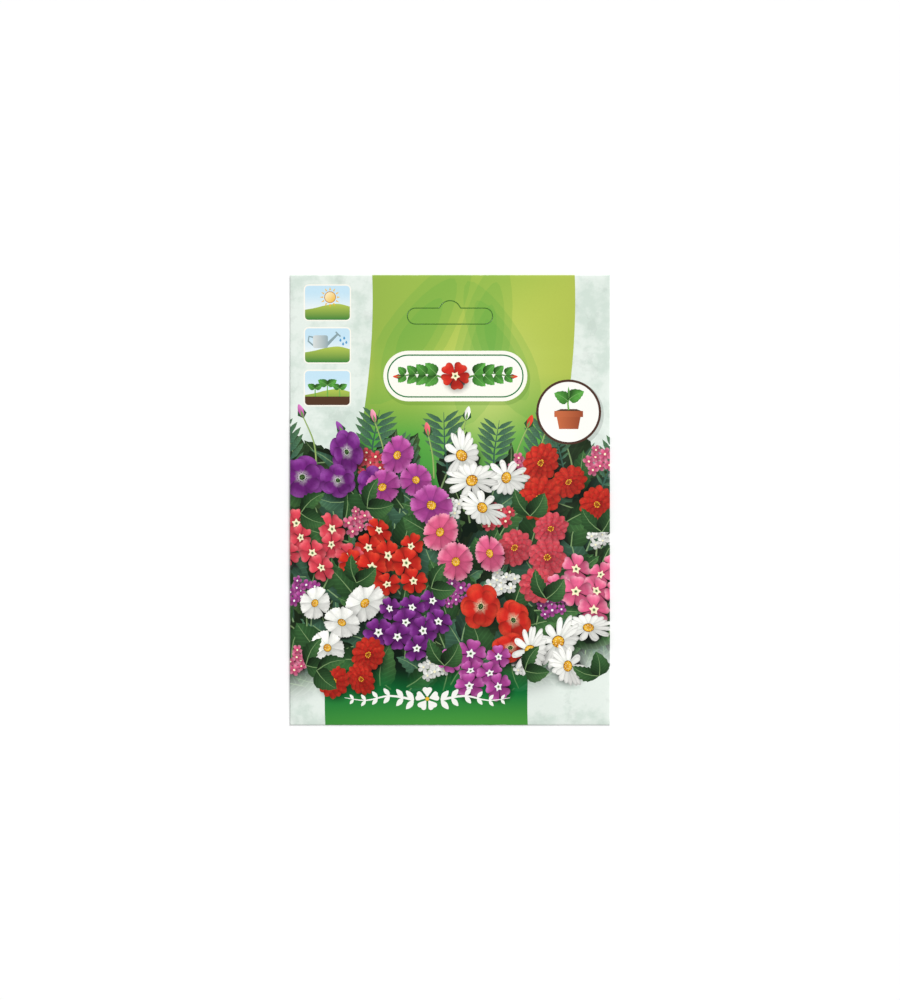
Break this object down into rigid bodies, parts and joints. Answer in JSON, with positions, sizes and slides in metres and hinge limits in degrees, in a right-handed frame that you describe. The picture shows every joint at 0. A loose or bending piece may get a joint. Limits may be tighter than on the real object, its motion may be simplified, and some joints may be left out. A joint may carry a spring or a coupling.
{
  "type": "seed packet",
  "caption": "Flat paper seed packet, printed front, glued header with a hang slot still closed, sealed sachet of seeds inside.",
  "frame": {"origin": "on the surface that the packet lies on, under the middle of its outline", "axes": "+Z out of the printed front, +Y from the foot to the header, +X to the right as the front is read"},
  "size_m": [0.12, 0.1688, 0.0043],
  "materials": {
    "coated_paper": "satin coated paper, printed in colour on the outside, white uncoated inside",
    "sachet_film": "thin heat-sealed film with a soft shine",
    "seed_coat": "dry, ribbed, matt brown"
  },
  "bodies": {
    "root": {"envelope": "coated_paper", "sachet_back_film": "sachet_film", "sachet_front_film": "sachet_film", "seeds": "seed_coat"}
  },
  "joints": []
}
